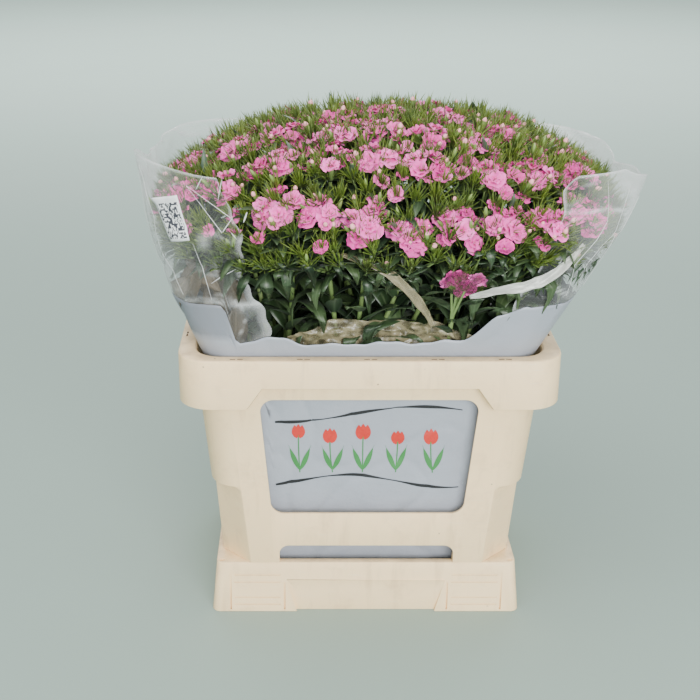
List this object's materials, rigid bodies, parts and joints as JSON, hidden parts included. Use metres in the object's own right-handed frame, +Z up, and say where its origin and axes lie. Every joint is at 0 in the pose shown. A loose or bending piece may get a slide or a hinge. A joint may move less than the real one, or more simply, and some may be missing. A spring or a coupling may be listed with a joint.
{
  "type": "dianthus plant",
  "caption": "Bunch of pink spray dianthus in a film sleeve, standing in water in a cream flower container with open windows.",
  "frame": {"origin": "on the floor, at the middle of the container's underside", "axes": "+Z up, the front faces -Y, +X to the right seen from the front"},
  "size_m": [0.5829, 0.4444, 0.6142],
  "materials": {
    "cream": "moulded cream polypropylene, slightly scuffed",
    "water": "still water",
    "white_film": "opaque white film, printed",
    "clear_film": "clear glossy film with creases",
    "label": "white paper label with a dot pattern",
    "brown_film": "crumpled brownish film",
    "leaf": "green stems, leaves and bracts",
    "petal": "pink petals, matt"
  },
  "bodies": {
    "root": {"container_base": "cream", "collar": "cream", "water": "water", "sleeve_white": "white_film", "sleeve_clear": "clear_film", "label": "label", "torn_film": "brown_film", "stems_left_front": "leaf", "stems_left_middle": "leaf", "stems_left_back": "leaf", "stems_front": "leaf", "stems_heart_front": "leaf", "stems_heart": "leaf", "stems_back": "leaf", "stems_right_front": "leaf", "stems_right_middle": "leaf", "stems_right_back": "leaf", "stems_right_far": "leaf", "blooms_01": "petal", "blooms_02": "petal", "blooms_03": "petal", "blooms_04": "petal", "blooms_05": "petal", "blooms_06": "petal", "blooms_07": "petal", "blooms_08": "petal", "blooms_09": "petal", "blooms_10": "petal", "blooms_11": "petal", "blooms_12": "petal", "blooms_13": "petal", "blooms_14": "petal", "blooms_15": "petal", "blooms_16": "petal", "blooms_17": "petal", "blooms_18": "petal", "blooms_19": "petal", "blooms_20": "petal", "blooms_21": "petal", "blooms_22": "petal", "blooms_23": "petal", "blooms_24": "petal", "blooms_25": "petal", "blooms_26": "petal", "blooms_27": "petal", "blooms_28": "petal", "blooms_29": "petal", "blooms_30": "petal", "blooms_31": "petal", "blooms_32": "petal", "blooms_33": "petal", "blooms_34": "petal", "blooms_35": "petal", "blooms_36": "petal", "blooms_37": "petal", "blooms_38": "petal", "blooms_39": "petal", "blooms_40": "petal", "blooms_41": "petal", "blooms_42": "petal"}
  },
  "joints": []
}
